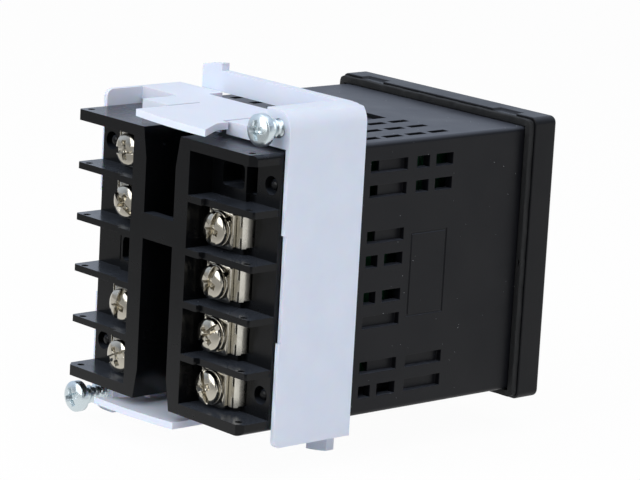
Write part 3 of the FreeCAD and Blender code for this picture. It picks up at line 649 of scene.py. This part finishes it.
# the lock ring is a turn of square wire, cut through, with its two ends sprung apart
sprung_share = 0.25
uncut_share = 0.965
sunk_share = 0.40
wire_radius = maths(washer, "MULTIPLY", given["Ring width"], 0.5)
wire_line = maths(washer, "SUBTRACT", given["Ring radius"], wire_radius)
spring = maths(washer, "MULTIPLY", given["Ring thickness"], sprung_share)
turn_of_wire = add(washer, "GeometryNodeCurveSpiral", {"Resolution": 56, "Rotations": uncut_share,
                                                       "Start Radius": wire_line, "End Radius": wire_line,
                                                       "Height": spring})
turn_of_wire = add(washer, "GeometryNodeSetCurveNormal", {"Curve": turn_of_wire.outputs[0]}, mode="Z_UP")
section = add(washer, "GeometryNodeCurvePrimitiveQuadrilateral", {"Width": given["Ring width"],
                                                                  "Height": given["Ring thickness"]})
ring = add(washer, "GeometryNodeCurveToMesh", {"Curve": turn_of_wire.outputs[0],
                                               "Profile Curve": section.outputs[0], "Fill Caps": True})
half = maths(washer, "MULTIPLY", given["Ring thickness"], sunk_share)
rest = maths(washer, "ADD", given["Thickness"], half)
ring = add(washer, "GeometryNodeTransform",
           {"Geometry": ring.outputs[0], "Translation": vector(washer, Z=rest),
            "Rotation": vector(washer, Z=given["Turn"])})
both = add(washer, "GeometryNodeJoinGeometry", {0: [plate.outputs[0], ring.outputs[0]]})
laid = add(washer, "GeometryNodeTransform", {"Geometry": both.outputs[0], "Translation": given["Place"],
                                             "Rotation": tip_to_rear})
close_shape(washer, given, laid.outputs[0])

ring_thickness = 0.55
terminal_turns = (72, 70, 41, 110, 8, -35, 75, 25)
for i, turn in enumerate(terminal_turns, 1):
    low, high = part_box("terminal_screw_%d" % i)
    flat_low, flat_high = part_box("terminal_washer_%d" % i)
    x = (low[0] + high[0]) / 2
    z = (low[2] + high[2]) / 2
    head_radius = (high[0] - low[0]) / 2
    under_head = flat_high[1] + ring_thickness * MM
    grown("terminal_screw_%d_nickel" % i, screw,
          {"Place": (x, under_head, z), "Head radius": head_radius, "Head height": high[1] - under_head,
           "Dome": 0.75 * MM, "Slot length": 2.2 * head_radius, "Slot width": 1.35 * MM,
           "Slot depth": 1.05 * MM, "Cross length": 4.3 * MM, "Cross width": 1.35 * MM,
           "Cross depth": 1.35 * MM, "Turn": math.radians(turn), "Thread radius": 1.5 * MM,
           "Thread length": under_head - low[1], "Thread pitch": 0.5 * MM, "Ridge": 0.16 * MM,
           "Finish": nickel}, "terminal_%d" % i, ["terminal_screw_%d" % i], edge=0.06)
    grown("terminal_washer_%d_nickel" % i, washer,
          {"Place": (x, flat_low[1], z), "Side": flat_high[0] - flat_low[0], "Corner": 0.7 * MM,
           "Thickness": flat_high[1] - flat_low[1], "Bore radius": 1.6 * MM, "Ring radius": 2.90 * MM,
           "Ring width": 1.05 * MM, "Ring thickness": ring_thickness * MM, "Turn": math.radians(turn * 3),
           "Finish": nickel}, "terminal_%d" % i, ["terminal_washer_%d" % i], edge=0.12)

# ---- clamp bracket ------------------------------------------------------------------------
# One frame moulded in natural nylon slides on from behind.  Two ears carry the clamp screws, and
# a tongue with a pawl clicks over the teeth on the case.

# natural nylon: milky white with a cool cast, lets a little light into it, skin slightly uneven
nylon, tree, shader = surface("natural_nylon", "#D8DFEE", Subsurface_Weight=0.30, Subsurface_Scale=1.2 * MM,
                              Specular_IOR_Level=0.45)
patches = grain(tree, shader, 2.6, 0.020, 6.0, (0.36, 0.48))
tinted(tree, shader, patches, 0.30, 0.72, "#D5DDEC", "#DAE1EF")
root_start = 17.5 * MM
root_end = 23.4 * MM
arm_front = 34.3 * MM
ring_front = 36.1 * MM
clear_of_ring = 0.05 * MM


def ease(form):
    # the front of each arm runs back to the ring's corner in a long slant
    for at in (-root_start, root_start):
        cut_across(form, 0, at)
    for vert in form.verts:
        outward = abs(vert.co.x) - root_start
        if vert.co.x * vert.co.z < 0 and outward > 0 and vert.co.y < ring_front - clear_of_ring:
            slant = arm_front + (ring_front - arm_front) * outward / (root_end - root_start)
            vert.co.y = max(vert.co.y, slant)


moulded("bracket_frame", "bracket", "bracket", nylon, 0.30, 3, reshape=ease)

# ---- clamp screws -------------------------------------------------------------------------
# A coarse-threaded screw with a cross-recessed domed head runs through each ear and presses on
# the back of the panel.

# bluish zinc plate: bright, cool, softer than nickel
zinc, tree, shader = surface("blue_zinc_plate", "#CDD8DC", Metallic=1.0)
grain(tree, shader, 0.6, 0.014, 1.8, (0.24, 0.36))
for name, turn in (("clamp_screw_top", 8), ("clamp_screw_bottom", 25)):
    low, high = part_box(name)
    head_height = 1.9 * MM
    under_head = high[1] - head_height
    grown(name + "_zinc", screw,
          {"Place": ((low[0] + high[0]) / 2, under_head, (low[2] + high[2]) / 2),
           "Head radius": (high[0] - low[0]) / 2, "Head height": head_height, "Dome": 0.9 * MM,
           "Slot length": 1.3 * MM, "Slot width": 1.3 * MM, "Slot depth": 1.3 * MM,
           "Cross length": 4.3 * MM, "Cross width": 1.25 * MM, "Cross depth": 1.2 * MM,
           "Turn": math.radians(turn), "Thread radius": 1.55 * MM, "Thread length": under_head - low[1],
           "Thread pitch": 1.1 * MM, "Ridge": 0.34 * MM, "Finish": zinc}, name, [name],
          edge=0.07)

# ---- circuit boards and their parts -------------------------------------------------------
# Three boards stand inside the case: one behind the front, and one down each side.  They show a
# little through the vents.

# solder resist on glass epoxy: green and glossy, lighter over the copper tracks
resist, tree, shader = surface("green_solder_resist", "#0B2F1D", Specular_IOR_Level=0.4)
grain(tree, shader, 0.6, 0.004, 4.0, (0.20, 0.32))
place = add(tree, "ShaderNodeTexCoord").outputs["Object"]
tracks = add(tree, "ShaderNodeTexBrick", {"Vector": place, "Scale": 1 / (6.0 * MM)})
tinted(tree, shader, tracks.outputs["Fac"], 0.40, 0.60, "#0A2C1B", "#123E26")
for node in ("front_board", "board_left", "board_right"):
    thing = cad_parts[node]
    thing.data.materials.clear()
    thing.data.materials.append(resist)
# moulded epoxy of chips, switches and links: nearly black and dull
epoxy_black, tree, shader = surface("moulded_epoxy", "#18191B", Specular_IOR_Level=0.4)
grain(tree, shader, 0.15, 0.008, 2.0, (0.45, 0.60))
# relay's moulded shell: ochre and satin
relay_shell, tree, shader = surface("moulded_relay_shell", "#B98A2C", Specular_IOR_Level=0.45)
grain(tree, shader, 0.4, 0.006, 3.0, (0.30, 0.42))
# polyester tape round the transformer: warm yellow-brown with a film's sheen
tape, tree, shader = surface("yellow_polyester_tape", "#A8862A", Specular_IOR_Level=0.5)
grain(tree, shader, 0.8, 0.010, 3.0, (0.22, 0.34))
# sleeves shrunk on the capacitors: nearly black and glossy
sleeve, tree, shader = surface("shrunk_sleeve", "#15181D", Specular_IOR_Level=0.5)
grain(tree, shader, 0.7, 0.006, 2.0, (0.20, 0.30))
for node, finish in (("chips", epoxy_black), ("key_switches", epoxy_black), ("board_links", epoxy_black),
                     ("relay", relay_shell), ("transformer", tape), ("capacitors", sleeve)):
    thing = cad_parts[node]
    thing.data.materials.clear()
    thing.data.materials.append(finish)
